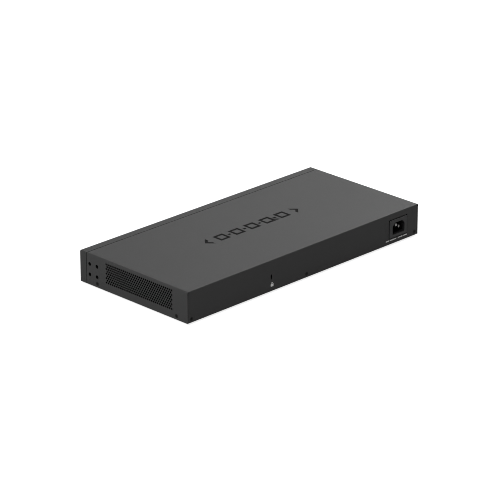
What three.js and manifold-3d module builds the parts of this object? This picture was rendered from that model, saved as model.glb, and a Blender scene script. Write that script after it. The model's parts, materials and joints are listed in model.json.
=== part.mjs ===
// A rack-width network switch with 24 copper ports, two fibre cages and its own mains supply.
// Millimetres, +Z up. The ports face -Y, the mains inlet faces +Y, and the origin is the centre of
// the footprint on the plane that the rubber feet stand on. Every solid is made in the frame of the
// case, whose origin is the centre of its underside, and one group carries that frame into place.
import * as THREE from "three";
import { mergeVertices } from "three/addons/utils/BufferGeometryUtils.js";
import Module from "manifold-3d";

const wasm = await Module();
wasm.setup();

// Case.
const WIDTH = 440;
const DEPTH = 204;
const HEIGHT = 44;
const SHEET = 1;
const BEND_RADIUS = 2;
const FIT = 0.1;
const CLEARANCE = 0.3;
const RIGHT = WIDTH / 2;
const REAR = DEPTH / 2;
const FRONT = -REAR;

// Front fascia, which wraps the front end of the case and laps under the cover.
const FASCIA_DEPTH = 13;
const FASCIA_WALL = 2.2;
const FASCIA_LAP = 2.5;
const SEAM = 0.5;
const SEAM_Y = FRONT + FASCIA_DEPTH;
const PAN_FRONT = FRONT + FASCIA_WALL + 2 * FIT;

// Feet and base pan.
const FOOT_HEIGHT = 2.5;
const FOOT_RADIUS = 7;
const FOOT_X = 198;
const FOOT_Y = 78;
const FLANGE_HEIGHT = 7.2;

// Cover screws: M3, countersunk, in line near the lower edge of the sides and the rear.
const SCREW_Z = 5.1;
const SIDE_SCREW_Y = [-68.7, 81.8];
const REAR_SCREW_X = { left: -212.6, middle: 0, right: 212.6 };
const M3_SHANK = 1.4;
const M3_THREAD = 1.65;
const M3_HOLE = 1.85;
const SUNK_HEAD = 2.8;
const SUNK_DEPTH = 1.3;
const SUNK_GAP = 0.15;
const SUNK_LENGTH = 5;
const PAN_HEAD = { radius: 2.75, height: 2, length: 6.4 };

// Holes that take the rack ears, four on each side.
const EAR_HOLE_RADIUS = 2;
const EAR_BOSS_RADIUS = 3.2;
const EAR_BOSS_HEIGHT = 2;
const EAR_HOLE_Y = [-83, -68.9];
const EAR_HOLE_Z = [14.6, 29.4];

// Side vents: staggered rows of round holes, held here as one slot of the same open area per row.
const VENT_ROWS = 9;
const VENT_ROW_PITCH = 3.242;
const VENT_HOLE_PITCH = 3.744;
const VENT_HOLES = 34;
const VENT_HOLE_RADIUS = 1.4;
const VENT_Y = 11.15;
const VENT_Z = 25.25;

// Rear panel openings.
const LOCK_SLOT = { x: 66.6, z: 19.95, width: 3, height: 7 };
const INLET_X = -179.3;
const INLET_Z = 21.3;
const INLET_GAP = 1.1;

// Circuit boards and the standoffs that hold them.
const BOARD = 1.6;
const MAIN_BOARD_Z = 6;
const SUPPLY_BOARD_Z = 6.8;
const STANDOFF_RADIUS = 3;
const BOARD_TOP = MAIN_BOARD_Z + BOARD + FIT;
const SUPPLY_TOP = SUPPLY_BOARD_Z + BOARD + FIT;
const BOARD_FRONT = PAN_FRONT + SHEET + CLEARANCE;
const MAIN_BOARD = { left: -210, step: -115, right: 205, front: BOARD_FRONT, notch: -20, rear: 45 };
const MAIN_SCREWS = [[-200, -30], [-105, 38], [40, 38], [198, 38]];
const SUPPLY_BOARD = { left: -212, right: -128, front: -10, rear: 97 };
const SUPPLY_SCREWS = [[-207, -5], [-133, -5], [-207, 60], [-133, 92]];

// Chips, each under its own heatsink, and the supply header at the left end of the main board.
const CHIP_HEIGHT = 1.5;
const SWITCH_CHIP = { x: 68, y: -20, side: 24, sink: 38, sinkHeight: 13, fins: 10 };
const PHY_CHIP = { x: { left: 8, right: 128 }, y: -35, side: 16, sink: 24, sinkHeight: 10, fins: 7 };
const HEADER = { x: -102, y: 10 };

// Copper ports: two blocks, each of two rows of six.
const PORT_PITCH = 13.97;
const PORT_COLUMNS = 6;
const BLOCK_X = { left: 22, right: 115 };
const BLOCK_FACE = FRONT + 0.8;
const BLOCK = { width: 85.4, height: 25.6, depth: 26, skin: 0.4 };
const PORT = { width: 11.9, body: 6.9, latch: 6.4, latchDepth: 2, key: 3.3, keyDepth: 1.5, depth: 17 };
const PORT_EDGE = 1.4;

// Fibre cages.
const CAGE = { x: 185, wide: 13.8, high: 8.9, wall: 0.4, pitch: 14.2, depth: 48, face: FRONT + 0.4 };
const CAGE_HEIGHT = CAGE.high + 2 * CAGE.wall;

// Recessed buttons and the power light, at the left end of the front.
const LIGHT_X = -196;
const LIGHT_RADIUS = 1.4;
const LIGHT_GAP = 0.2;
const BUTTON_X = { reset: -180, defaults: -166 };
const BUTTON_Z = BOARD_TOP + 4;
const BUTTON_RADIUS = 1.5;
const BUTTON_TIP = PAN_FRONT + 0.4;
const PIN_HOLE_RADIUS = 1.4;
const COLLAR_RADIUS = 2.3;
const SWITCH = { width: 7, depth: 4, height: 7.2, front: PAN_FRONT + 4.2, wall: 0.6 };

// Mains inlet, to the IEC 60320 C14 pattern with the earth blade uppermost.
const INLET = { width: 34.4, height: 25.6, depth: 25, mouthWidth: 23.8, mouthHeight: 16.3, mouthDepth: 16.5 };
const INLET_CHAMFER = 4.6;
const INLET_PROUD = 1;
const INLET_FACE = REAR + INLET_PROUD;
const BLADE = { width: 2, height: 4, spread: 7, rise: 2, gap: 0.15, leg: 1.2 };
const BLADE_TIP = { live: 5.5, neutral: 5.5, earth: 4.6 };
const TAIL_Y = INLET_FACE - INLET.depth - 3.5;

// Parts of the mains supply, by the middle of each.
const FUSE = { x: -205, y: 84, radius: 4.2, height: 8 };
const X_CAPACITOR = { x: -148.5, y: 79, width: 9, depth: 18, height: 15 };
const CHOKE = { x: -196, y: 60, ring: 7, wire: 3, height: 11.4 };
const BULK_CAPACITOR = { x: -172, y: 48, radius: 9, height: 28 };
const OUTPUT_CAPACITOR = { x: [-168, -154], y: 0, radius: 5, height: 20 };
const TRANSFORMER = { x: -168, y: 20 };
const HEATSINK = { height: 24, sheet: 2, lip: 7 };
const PRIMARY_HEATSINK = { x: -200, y: 28, length: 34 };
const SECONDARY_HEATSINK = { x: -146, y: 26, length: 30 };
const EARTH_RING = { x: -119, y: 80, radius: 4, bore: 1.9 };

// Sides of a turned piece, and points on a quarter bend.
const SIDES = 12;
const BEND_POINTS = 2;

// --- Materials -------------------------------------------------------------------------------

function finish(color, roughness, metalness) {
  return new THREE.MeshStandardMaterial({ color, roughness, metalness });
}

const paint = finish(0x3a3b3d, 0.55, 0.3);
const zinc = finish(0xb9bcc0, 0.4, 0.9);
const blackZinc = finish(0x1c1d1f, 0.45, 0.8);
const tinplate = finish(0xc4c6c8, 0.3, 1);
const rubber = finish(0x161616, 0.9, 0);
const laminate = finish(0x14512f, 0.5, 0);
const tanLaminate = finish(0x8f6b3a, 0.6, 0);
const blackPlastic = finish(0x121214, 0.5, 0);
const whitePlastic = finish(0xdedbd2, 0.5, 0);
const redPlastic = finish(0x9d2020, 0.5, 0);
const packagePlastic = finish(0x1a1a1c, 0.6, 0);
const aluminium = finish(0xa9adb2, 0.4, 1);
const ferrite = finish(0x2c2a2a, 0.7, 0.1);
const copper = finish(0xa45a2a, 0.4, 0.9);
const nickel = finish(0xd6d3c8, 0.25, 1);
const canSleeve = finish(0x22242c, 0.4, 0.2);
const clearPlastic = finish(0xe6eef0, 0.15, 0);
const filmPlastic = finish(0x23262a, 0.5, 0);
const filmBox = finish(0xc9b23a, 0.5, 0);
const earthSleeve = finish(0x6f8f24, 0.6, 0);

// --- Solids ----------------------------------------------------------------------------------

// A closed three.js geometry as a manifold solid, faces out.
function solid(geometry) {
  const bare = geometry.index ? geometry.toNonIndexed() : geometry.clone();
  bare.deleteAttribute("normal");
  bare.deleteAttribute("uv");
  const merged = mergeVertices(bare, 1e-4);
  const triVerts = new Uint32Array(merged.index.array);
  const vertProperties = merged.attributes.position.array;
  const made = new wasm.Manifold(new wasm.Mesh({ numProp: 3, vertProperties, triVerts }));
  if (made.volume() > 0) return made;
  triVerts.reverse();
  return new wasm.Manifold(new wasm.Mesh({ numProp: 3, vertProperties, triVerts }));
}

function join(...solids) {
  return solids.reduce((whole, next) => whole.add(next));
}

function cut(whole, ...tools) {
  return tools.reduce((left, tool) => left.subtract(tool), whole);
}

// A box between two corners.
function box(x0, x1, y0, y1, z0, z1) {
  const shape = new THREE.BoxGeometry(x1 - x0, y1 - y0, z1 - z0);
  return solid(shape.translate((x0 + x1) / 2, (y0 + y1) / 2, (z0 + z1) / 2));
}

const AXES = {
  x: [new THREE.Vector3(0, 1, 0), new THREE.Vector3(0, 0, 1), new THREE.Vector3(1, 0, 0)],
  y: [new THREE.Vector3(-1, 0, 0), new THREE.Vector3(0, 0, 1), new THREE.Vector3(0, 1, 0)],
  z: [new THREE.Vector3(1, 0, 0), new THREE.Vector3(0, 1, 0), new THREE.Vector3(0, 0, 1)],
};

function turnTo(axis) {
  return new THREE.Matrix4().makeBasis(...AXES[axis]);
}

// A flat outline pushed along an axis: (y, z) along x, (x, z) along y, or (x, y) along z.
function pushed(outline, axis, from, to) {
  const mirrored = outline.getPoints(BEND_POINTS).map((p) => new THREE.Vector2(-p.x, p.y));
  const shape = axis === "y" ? new THREE.Shape(mirrored) : outline;
  const settings = { depth: to - from, bevelEnabled: false, curveSegments: BEND_POINTS };
  const geometry = new THREE.ExtrudeGeometry(shape, settings);
  return solid(geometry.translate(0, 0, from).applyMatrix4(turnTo(axis)));
}

// A turned solid: pairs of radius and height along the axis, starting and ending on the axis.
function turned(profile, axis, x, y, z, flip = 1) {
  const points = profile.map(([r, h]) => new THREE.Vector2(r, h * flip));
  const geometry = new THREE.LatheGeometry(points, SIDES).rotateX(Math.PI / 2);
  return solid(geometry.applyMatrix4(turnTo(axis)).translate(x, y, z));
}

function rod(radius, axis, from, to, a, b) {
  const profile = [[0, from], [radius, from], [radius, to], [0, to]];
  const place = { x: [0, a, b], y: [a, 0, b], z: [a, b, 0] }[axis];
  return turned(profile, axis, ...place);
}

function polygon(points) {
  return new THREE.Shape(points.map(([x, y]) => new THREE.Vector2(x, y)));
}

// A bar of constant section swept along a smooth path.
function swept(path, halfWidth, halfHeight, steps) {
  const curve = new THREE.CatmullRomCurve3(path.map((p) => new THREE.Vector3(...p)));
  const section = new THREE.Shape().absellipse(0, 0, halfWidth, halfHeight, 0, 2 * Math.PI);
  return solid(new THREE.ExtrudeGeometry(section, { steps, extrudePath: curve, curveSegments: 4 }));
}

const model = new THREE.Group();
const body = new THREE.Group();
body.position.set(0, -INLET_PROUD / 2, FOOT_HEIGHT);
model.add(body);

// Puts a finished solid into the model as one named mesh.
function piece(name, made, material) {
  const mesh = made.getMesh();
  const geometry = new THREE.BufferGeometry();
  geometry.setAttribute("position", new THREE.BufferAttribute(mesh.vertProperties, 3));
  geometry.setIndex(new THREE.BufferAttribute(mesh.triVerts, 1));
  geometry.computeVertexNormals();
  const node = new THREE.Mesh(geometry, material);
  node.name = name;
  body.add(node);
}

// --- Case ------------------------------------------------------------------------------------

// The arch of the cover or fascia seen from the front: its outer face moved in by some distance.
function archOutline(inset) {
  const x = RIGHT - inset;
  const top = HEIGHT - inset;
  const radius = Math.max(BEND_RADIUS - inset, 0.4);
  const outline = new THREE.Shape();
  outline.moveTo(-x, 0);
  outline.lineTo(x, 0);
  outline.lineTo(x, top - radius);
  outline.absarc(x - radius, top - radius, radius, 0, Math.PI / 2, false);
  outline.lineTo(radius - x, top);
  outline.absarc(radius - x, top - radius, radius, Math.PI / 2, Math.PI, false);
  outline.closePath();
  return outline;
}

// An open-bottomed sleeve between two insets of the arch.
function sleeve(outer, inner, y0, y1) {
  const hollow = pushed(archOutline(inner), "y", y0 - 1, y1 + 1);
  const below = box(inner - RIGHT, RIGHT - inner, y0 - 1, y1 + 1, -1, 1);
  return cut(pushed(archOutline(outer), "y", y0, y1), hollow, below);
}

function ventSlots(side) {
  const length = VENT_HOLES * VENT_HOLE_PITCH;
  const height = (VENT_HOLES * Math.PI * VENT_HOLE_RADIUS ** 2) / length;
  const x = side * RIGHT;
  const slots = [];
  for (let row = 0; row < VENT_ROWS; row++) {
    const z = VENT_Z + (row - (VENT_ROWS - 1) / 2) * VENT_ROW_PITCH;
    slots.push(box(x - 3, x + 3, VENT_Y - length / 2, VENT_Y + length / 2, z - height / 2, z + height / 2));
  }
  return slots;
}

function earPlaces(side) {
  return EAR_HOLE_Y.flatMap((y) => EAR_HOLE_Z.map((z) => ({ side, y, z })));
}

// Profile of the hole that a countersunk screw sinks into, or of the screw itself with no gap.
function sunkProfile(gap, shank, length) {
  const head = SUNK_HEAD + gap;
  const neck = SUNK_HEAD - SUNK_DEPTH + gap;
  return [[0, 0], [head, 0], [neck, SUNK_DEPTH], [shank, SUNK_DEPTH], [shank, length], [0, length]];
}

// Every cover screw: its name and the axis, place and direction that it is driven in.
function coverScrewPlaces() {
  const places = [];
  for (const [end, y] of [["front", SIDE_SCREW_Y[0]], ["rear", SIDE_SCREW_Y[1]]]) {
    places.push({ name: `cover_screw_left_${end}`, axis: "x", at: [-RIGHT, y, SCREW_Z], into: 1 });
    places.push({ name: `cover_screw_right_${end}`, axis: "x", at: [RIGHT, y, SCREW_Z], into: -1 });
  }
  for (const [end, x] of Object.entries(REAR_SCREW_X)) {
    places.push({ name: `cover_screw_rear_${end}`, axis: "y", at: [x, REAR, SCREW_Z], into: -1 });
  }
  return places;
}

function topCover() {
  const front = SEAM_Y + SEAM / 2;
  let cover = sleeve(0, SHEET, front, REAR);
  cover = join(cover, pushed(archOutline(0), "y", REAR - SHEET, REAR));
  const earPoints = [...earPlaces(-1), ...earPlaces(1)];
  for (const { side, y, z } of earPoints) {
    const inner = side * (RIGHT - SHEET - EAR_BOSS_HEIGHT);
    const outer = side * (RIGHT - SHEET / 2);
    cover = join(cover, rod(EAR_BOSS_RADIUS, "x", Math.min(inner, outer), Math.max(inner, outer), y, z));
  }
  for (const { side, y, z } of earPoints) {
    const reach = [side * (RIGHT - 6), side * (RIGHT + 1)];
    cover = cut(cover, rod(EAR_HOLE_RADIUS, "x", Math.min(...reach), Math.max(...reach), y, z));
  }
  for (const { axis, at, into } of coverScrewPlaces()) {
    cover = cut(cover, turned(sunkProfile(SUNK_GAP, M3_HOLE, 3), axis, ...at, into));
  }
  cover = cut(cover, ...ventSlots(-1), ...ventSlots(1));
  const lockX = LOCK_SLOT.width / 2;
  const lockZ = LOCK_SLOT.height / 2;
  const cutX = INLET.width / 2 + INLET_GAP;
  const cutZ = INLET.height / 2 + INLET_GAP;
  const y0 = REAR - 3;
  const y1 = REAR + 1;
  return cut(
    cover,
    box(LOCK_SLOT.x - lockX, LOCK_SLOT.x + lockX, y0, y1, LOCK_SLOT.z - lockZ, LOCK_SLOT.z + lockZ),
    box(INLET_X - cutX, INLET_X + cutX, y0, y1, INLET_Z - cutZ, INLET_Z + cutZ),
  );
}

// The windows that the port blocks and the fibre cages look out of, grown by a gap.
function frontWindows(gap, y0, y1, cageHeight) {
  const blockHalf = BLOCK.width / 2 + BLOCK.skin + gap;
  const blockTop = BOARD_TOP + BLOCK.height + BLOCK.skin + gap;
  const cageHalf = CAGE.pitch / 2 + CAGE.wide / 2 + CAGE.wall + gap;
  const cageTop = BOARD_TOP + cageHeight + gap;
  const blocks = Object.values(BLOCK_X).map((x) =>
    box(x - blockHalf, x + blockHalf, y0, y1, BOARD_TOP - gap, blockTop),
  );
  const cages = box(CAGE.x - cageHalf, CAGE.x + cageHalf, y0, y1, BOARD_TOP - gap, cageTop);
  return [...blocks, cages];
}

function frontFascia() {
  const inner = FASCIA_WALL;
  const back = SEAM_Y - SEAM / 2;
  const lapInset = SHEET + 2 * FIT;
  const lap = sleeve(lapInset, inner, back - 2, SEAM_Y + FASCIA_LAP);
  const shell = join(sleeve(0, inner, FRONT, back), lap);
  let fascia = join(shell, pushed(archOutline(0), "y", FRONT, FRONT + FASCIA_WALL));
  fascia = cut(fascia, ...frontWindows(CLEARANCE, FRONT - 1, FRONT + FASCIA_WALL + 1, CAGE_HEIGHT));
  for (const x of Object.values(BUTTON_X)) {
    fascia = cut(fascia, rod(PIN_HOLE_RADIUS, "y", FRONT - 1, FRONT + 4, x, BUTTON_Z));
  }
  return cut(fascia, rod(LIGHT_RADIUS + LIGHT_GAP, "y", FRONT - 1, FRONT + 4, LIGHT_X, BUTTON_Z));
}

function standoff([x, y], height) {
  const post = rod(STANDOFF_RADIUS, "z", SHEET / 2, height - FIT, x, y);
  return cut(post, rod(M3_THREAD, "z", SHEET, height + 1, x, y));
}

function basePan() {
  const x = RIGHT - SHEET - FIT;
  const y = REAR - SHEET - FIT;
  const nose = RIGHT - FASCIA_WALL - FIT;
  const noseEnd = SEAM_Y + FASCIA_LAP + FIT;
  const tray = cut(
    box(-x, x, noseEnd, y, 0, FLANGE_HEIGHT),
    box(SHEET - x, x - SHEET, noseEnd - 1, y - SHEET, SHEET, FLANGE_HEIGHT + 1),
  );
  const frontTop = HEIGHT - FASCIA_WALL - 2 * FIT;
  const apron = cut(
    box(-nose, nose, PAN_FRONT, noseEnd + 2, 0, frontTop),
    box(-nose - 1, nose + 1, PAN_FRONT + SHEET, noseEnd + 3, SHEET, frontTop + 1),
  );
  let pan = join(
    tray,
    apron,
    ...MAIN_SCREWS.map((at) => standoff(at, MAIN_BOARD_Z)),
    ...SUPPLY_SCREWS.map((at) => standoff(at, SUPPLY_BOARD_Z)),
  );
  const windowHeight = BLOCK.height + BLOCK.skin;
  pan = cut(pan, ...frontWindows(CLEARANCE + FIT, PAN_FRONT - 1, PAN_FRONT + 2, windowHeight));
  for (const { axis, at, into } of coverScrewPlaces()) {
    const profile = [[0, 0], [M3_HOLE, 0], [M3_HOLE, 3], [0, 3]];
    pan = cut(pan, turned(profile, axis, ...at, into));
  }
  for (const buttonX of [...Object.values(BUTTON_X), LIGHT_X]) {
    pan = cut(pan, rod(BUTTON_RADIUS + CLEARANCE, "y", PAN_FRONT - 1, PAN_FRONT + 2, buttonX, BUTTON_Z));
  }
  return pan;
}

function foot(x, y) {
  const r = FOOT_RADIUS;
  const bevel = 0.6;
  const profile = [[0, 0], [r - bevel, 0], [r, bevel], [r, FOOT_HEIGHT], [0, FOOT_HEIGHT]];
  return turned(profile, "z", x, y, -FOOT_HEIGHT);
}

function buildCase() {
  piece("base_pan", basePan(), zinc);
  piece("top_cover", topCover(), paint);
  piece("front_fascia", frontFascia(), paint);
  for (const [end, y] of [["front", -FOOT_Y], ["rear", FOOT_Y]]) {
    piece(`foot_${end}_left`, foot(-FOOT_X, y), rubber);
    piece(`foot_${end}_right`, foot(FOOT_X, y), rubber);
  }
  for (const { name, axis, at, into } of coverScrewPlaces()) {
    piece(name, turned(sunkProfile(0, M3_SHANK, SUNK_LENGTH), axis, ...at, into), blackZinc);
  }
}

// --- Main board ------------------------------------------------------------------------------

function panHeadScrew([x, y], boardTop) {
  const { radius: r, height: h, length } = PAN_HEAD;
  const shank = [[0, -length], [M3_SHANK, -length], [M3_SHANK, 0]];
  const profile = [...shank, [r, 0], [r, h * 0.6], [r * 0.6, h], [0, h]];
  return turned(profile, "z", x, y, boardTop + FIT);
}

function boardHoles(places, z) {
  return places.map(([x, y]) => rod(M3_THREAD, "z", z - 1, z + BOARD + 1, x, y));
}

function mainBoard() {
  const { left, step, right, front, notch, rear } = MAIN_BOARD;
  const corners = [[left, front], [right, front], [right, rear], [step, rear], [step, notch], [left, notch]];
  const plate = pushed(polygon(corners), "z", MAIN_BOARD_Z, MAIN_BOARD_Z + BOARD);
  return cut(plate, ...boardHoles(MAIN_SCREWS, MAIN_BOARD_Z));
}

// Outline of one copper port in (x, z), centred on x, with its latch side towards +z or -z.
function portOutline(x, z, up) {
  const { width, body: high, latch, latchDepth, key, keyDepth } = PORT;
  const half = [
    [width / 2, 0],
    [width / 2, high],
    [latch / 2, high],
    [latch / 2, high + latchDepth],
    [key / 2, high + latchDepth],
    [key / 2, high + latchDepth + keyDepth],
  ];
  const mirrored = half.map(([a, b]) => [-a, b]).reverse();
  return polygon([...half, ...mirrored].map(([a, b]) => [x + a, z + up * b]));
}

// The places of the twelve ports of one block: centre line, the flat side away from the latch.
function portPlaces(blockX) {
  const tall = PORT.body + PORT.latchDepth + PORT.keyDepth;
  const places = [];
  for (let column = 0; column < PORT_COLUMNS; column++) {
    const x = blockX + (column - (PORT_COLUMNS - 1) / 2) * PORT_PITCH;
    places.push({ x, z: BOARD_TOP + PORT_EDGE + tall, up: -1 });
    places.push({ x, z: BOARD_TOP + BLOCK.height - PORT_EDGE - tall, up: 1 });
  }
  return places;
}

function portHoles(blockX, y0, y1) {
  return portPlaces(blockX).map(({ x, z, up }) => pushed(portOutline(x, z, up), "y", y0, y1));
}

function jackHousing(x) {
  const half = BLOCK.width / 2 - FIT;
  const front = BLOCK_FACE + BLOCK.skin + FIT;
  const back = front + BLOCK.depth;
  const block = box(x - half, x + half, front, back, BOARD_TOP, BOARD_TOP + BLOCK.height - FIT);
  return cut(block, ...portHoles(x, front - 1, front + PORT.depth));
}

function jackShield(x) {
  const { skin, depth } = BLOCK;
  const inner = BLOCK.width / 2;
  const outer = inner + skin;
  const front = BLOCK_FACE;
  const back = front + 2 * skin + depth + 2 * FIT;
  const bottom = BOARD_TOP + FIT;
  const top = BOARD_TOP + BLOCK.height;
  const shell = cut(
    box(x - outer, x + outer, front, back, bottom, top + skin),
    box(x - inner, x + inner, front + skin, back - skin, bottom - 1, top),
  );
  return cut(shell, ...portHoles(x, front - 1, front + 2 * skin));
}

function fibreCage() {
  const { x, wide, high, wall, pitch, depth, face } = CAGE;
  const half = pitch / 2 + wide / 2 + wall;
  const bottom = BOARD_TOP;
  let cage = box(x - half, x + half, face, face + depth, bottom, bottom + CAGE_HEIGHT);
  for (const side of [-1, 1]) {
    const centre = x + (side * pitch) / 2;
    const [x0, x1] = [centre - wide / 2, centre + wide / 2];
    cage = cut(cage, box(x0, x1, face - 1, face + depth - wall, bottom + wall, bottom + wall + high));
    cage = cut(cage, box(x0, x1, face + depth - 15, face + depth - wall, bottom - 1, bottom + 1));
  }
  return cage;
}

function fibreConnector(side) {
  const x = CAGE.x + (side * CAGE.pitch) / 2;
  const back = CAGE.face + CAGE.depth - CAGE.wall - 1;
  const shell = box(x - 6, x + 6, back - 10, back, BOARD_TOP, BOARD_TOP + 6.4);
  return cut(shell, box(x - 4.6, x + 4.6, back - 11, back - 4, BOARD_TOP + 3.1, BOARD_TOP + 4.6));
}

// A chip, and the comb of straight fins along Y that stands on it.
function chip(x, y, side) {
  const half = side / 2;
  return box(x - half, x + half, y - half, y + half, BOARD_TOP, BOARD_TOP + CHIP_HEIGHT);
}

function finned(x, y, side, height, fins) {
  const z = BOARD_TOP + CHIP_HEIGHT + FIT;
  const half = side / 2;
  const base = 2;
  const fin = 1;
  let comb = box(x - half, x + half, y - half, y + half, z, z + base);
  for (let i = 0; i < fins; i++) {
    const at = x - half + (i * (side - fin)) / (fins - 1);
    comb = join(comb, box(at, at + fin, y - half, y + half, z, z + height));
  }
  return comb;
}

function pushSwitch(x) {
  const { width, depth, height, front, wall } = SWITCH;
  const shell = box(x - width / 2, x + width / 2, front, front + depth, BOARD_TOP, BOARD_TOP + height);
  const bore = rod(BUTTON_RADIUS + 0.25, "y", front - 1, front + 1, x, BUTTON_Z);
  const chamber = rod(COLLAR_RADIUS + CLEARANCE, "y", front + wall, front + depth - wall, x, BUTTON_Z);
  return cut(shell, bore, chamber);
}

// The stem of a push switch: its collar is held behind the front wall of the switch.
function pushStem(x) {
  const collar = SWITCH.front + SWITCH.wall + FIT;
  return join(
    rod(BUTTON_RADIUS, "y", BUTTON_TIP, collar + 1, x, BUTTON_Z),
    rod(COLLAR_RADIUS, "y", collar, collar + 1, x, BUTTON_Z),
  );
}

function powerLed() {
  const front = PAN_FRONT + SHEET + 1.5;
  return box(LIGHT_X - 2, LIGHT_X + 2, front, front + 3, BOARD_TOP, BUTTON_Z + 2);
}

function lightPipe() {
  const front = FRONT + 0.1;
  const flange = PAN_FRONT + SHEET + FIT;
  return join(
    rod(LIGHT_RADIUS, "y", front, flange + 1, LIGHT_X, BUTTON_Z),
    rod(LIGHT_RADIUS + 1, "y", flange, flange + 0.8, LIGHT_X, BUTTON_Z),
  );
}

function outputHeader() {
  const { x, y } = HEADER;
  const shell = box(x - 4, x + 4, y - 6, y + 6, BOARD_TOP, BOARD_TOP + 9);
  return cut(shell, box(x - 3, x + 3, y - 5, y + 5, BOARD_TOP + 2, BOARD_TOP + 10));
}

function buildMainBoard() {
  piece("main_board", mainBoard(), laminate);
  MAIN_SCREWS.forEach((at, i) => {
    piece(`main_board_screw_${i + 1}`, panHeadScrew(at, MAIN_BOARD_Z + BOARD), zinc);
  });
  for (const [end, x] of Object.entries(BLOCK_X)) {
    piece(`jack_housing_${end}`, jackHousing(x), blackPlastic);
    piece(`jack_shield_${end}`, jackShield(x), tinplate);
  }
  piece("fibre_cage", fibreCage(), tinplate);
  piece("fibre_connector_left", fibreConnector(-1), blackPlastic);
  piece("fibre_connector_right", fibreConnector(1), blackPlastic);

  const main = SWITCH_CHIP;
  piece("switch_chip", chip(main.x, main.y, main.side), packagePlastic);
  piece("switch_heatsink", finned(main.x, main.y, main.sink, main.sinkHeight, main.fins), aluminium);
  for (const [end, x] of Object.entries(PHY_CHIP.x)) {
    const { y, side, sink, sinkHeight, fins } = PHY_CHIP;
    piece(`phy_chip_${end}`, chip(x, y, side), packagePlastic);
    piece(`phy_heatsink_${end}`, finned(x, y, sink, sinkHeight, fins), aluminium);
  }
  for (const [name, x] of Object.entries(BUTTON_X)) {
    piece(`${name}_switch`, pushSwitch(x), blackPlastic);
    piece(`${name}_button`, pushStem(x), whitePlastic);
  }
  piece("power_led", powerLed(), clearPlastic);
  piece("power_light_pipe", lightPipe(), clearPlastic);
  piece("output_header", outputHeader(), whitePlastic);
}

// --- Mains supply ----------------------------------------------------------------------------

function bladeAt(name) {
  const across = { live: BLADE.spread, neutral: -BLADE.spread, earth: 0 }[name];
  const up = name === "earth" ? BLADE.rise : -BLADE.rise;
  return { x: INLET_X + across, z: INLET_Z + up };
}

function powerInlet() {
  const { width, height, depth, mouthWidth, mouthHeight, mouthDepth } = INLET;
  const x = mouthWidth / 2;
  const z = mouthHeight / 2;
  const flat = x - INLET_CHAMFER;
  const low = z - INLET_CHAMFER;
  const corners = [[-x, -z], [x, -z], [x, low], [flat, z], [-flat, z], [-x, low]];
  const mouth = polygon(corners.map(([a, b]) => [INLET_X + a, INLET_Z + b]));
  const shell = box(
    INLET_X - width / 2, INLET_X + width / 2, INLET_FACE - depth, INLET_FACE,
    INLET_Z - height / 2, INLET_Z + height / 2,
  );
  const slots = Object.keys(BLADE_TIP).map((name) => {
    const at = bladeAt(name);
    const w = BLADE.width / 2 + BLADE.gap;
    const h = BLADE.height / 2 + BLADE.gap;
    return box(at.x - w, at.x + w, INLET_FACE - depth - 1, INLET_FACE - mouthDepth + 1, at.z - h, at.z + h);
  });
  return cut(shell, pushed(mouth, "y", INLET_FACE - mouthDepth, INLET_FACE + 1), ...slots);
}

function blade(name) {
  const { x, z } = bladeAt(name);
  const w = BLADE.width / 2;
  const h = BLADE.height / 2;
  return join(
    box(x - w, x + w, TAIL_Y, INLET_FACE - BLADE_TIP[name], z - h, z + h),
    box(x - BLADE.leg / 2, x + BLADE.leg / 2, TAIL_Y, TAIL_Y + BLADE.leg, SUPPLY_BOARD_Z - 1, z),
  );
}

function supplyBoard() {
  const { left, right, front, rear } = SUPPLY_BOARD;
  const plate = box(left, right, front, rear, SUPPLY_BOARD_Z, SUPPLY_BOARD_Z + BOARD);
  const half = BLADE.leg / 2 + 0.4;
  const y = TAIL_Y + BLADE.leg / 2;
  const z = SUPPLY_BOARD_Z;
  const pinHoles = Object.keys(BLADE_TIP).map((name) => {
    const { x } = bladeAt(name);
    return box(x - half, x + half, y - half, y + half, z - 1, z + BOARD + 1);
  });
  return cut(plate, ...boardHoles(SUPPLY_SCREWS, SUPPLY_BOARD_Z), ...pinHoles);
}

function insulationSheet() {
  const { left, right, front, rear } = SUPPLY_BOARD;
  const sheet = box(left, right, front, rear, SHEET + FIT, SHEET + FIT + 0.4);
  return cut(sheet, ...SUPPLY_SCREWS.map(([x, y]) => rod(STANDOFF_RADIUS + CLEARANCE, "z", 0, 3, x, y)));
}

function filmCapacitor() {
  const { x, y, width, depth, height } = X_CAPACITOR;
  return box(x - width / 2, x + width / 2, y - depth / 2, y + depth / 2, SUPPLY_TOP, SUPPLY_TOP + height);
}

function canCapacitor(x, { y, radius, height }) {
  const crimp = height - 2.5;
  const profile = [
    [0, 0], [radius, 0], [radius, crimp], [radius * 0.9, crimp + 0.7],
    [radius, crimp + 1.4], [radius, height - 0.4], [radius - 0.6, height], [0, height],
  ];
  return turned(profile, "z", x, y, SUPPLY_TOP);
}

function transformer() {
  const { x, y } = TRANSFORMER;
  const core = join(
    box(x - 14, x + 14, y - 5.5, y + 5.5, SUPPLY_TOP + 4, SUPPLY_TOP + 26),
    box(x - 15, x + 15, y - 9, y + 9, SUPPLY_TOP + 0.2, SUPPLY_TOP + 5),
  );
  return join(core, rod(9.5, "z", SUPPLY_TOP + 4.5, SUPPLY_TOP + 25, x, y));
}

function toroidChoke() {
  const { x, y, ring, wire, height } = CHOKE;
  const coil = new THREE.TorusGeometry(ring, wire, 10, 20).rotateX(Math.PI / 2);
  const base = box(x - 8, x + 8, y - 4, y + 4, SUPPLY_TOP, SUPPLY_TOP + 3);
  return join(solid(coil.translate(x, y, SUPPLY_TOP + height)), base);
}

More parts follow.
